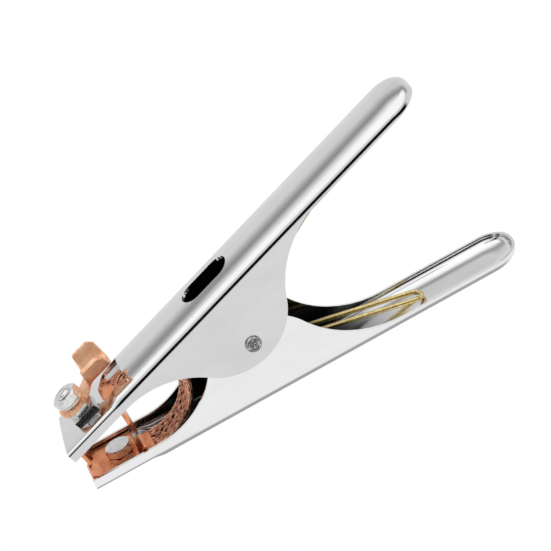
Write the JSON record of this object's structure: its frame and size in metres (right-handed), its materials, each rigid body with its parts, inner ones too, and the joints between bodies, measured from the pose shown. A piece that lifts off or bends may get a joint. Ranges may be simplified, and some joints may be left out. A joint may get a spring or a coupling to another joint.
{
  "type": "ground clamp",
  "caption": "Spring-loaded welding ground clamp: two pressed steel arms on a rivet, toothed copper jaws joined by a braid, and a crimp lug for the cable.",
  "frame": {"origin": "centre of the pivot rivet, midway between the cheeks", "axes": "+X towards the handle ends along the lower arm, +Z the way the upper jaw opens, Y along the pivot"},
  "size_m": [0.2486, 0.0427, 0.118],
  "materials": {
    "chromed_steel": "bright nickel or chrome plating on pressed sheet steel",
    "zinc_steel": "bright zinc plated fastener",
    "spring_steel": "yellow passivated zinc on spring wire",
    "copper": "bare stamped copper",
    "copper_braid": "fine copper wires, bunched"
  },
  "bodies": {
    "lower_body": {"lower_arm": "chromed_steel", "pivot_rivet": "zinc_steel", "pivot_sleeve": "zinc_steel", "rivet_washer": "zinc_steel", "torsion_spring": "spring_steel", "lower_jaw": "copper", "lower_jaw_bolt": "zinc_steel", "lower_jaw_nut": "zinc_steel", "lower_braid_tab": "copper", "braid_lower": "copper_braid"},
    "upper_body": {"upper_arm": "chromed_steel", "spring_upper_legs": "spring_steel", "upper_jaw": "copper", "upper_jaw_bolt": "zinc_steel", "square_plate": "zinc_steel", "jaw_lock_nut": "zinc_steel", "cable_lug": "copper", "cable_flat_washer": "zinc_steel", "cable_nut": "zinc_steel", "upper_braid_tab": "copper", "braid_upper": "copper_braid"}
  },
  "joints": [
    {"name": "jaw_hinge", "type": "hinge", "parent": "lower_body", "child": "upper_body", "pos_m": [0, 0, 0], "axis": [0, 1, 0], "range_deg": [0, 34], "stiffness_Nm_per_rad": 3, "springref_deg": -57.3}
  ]
}
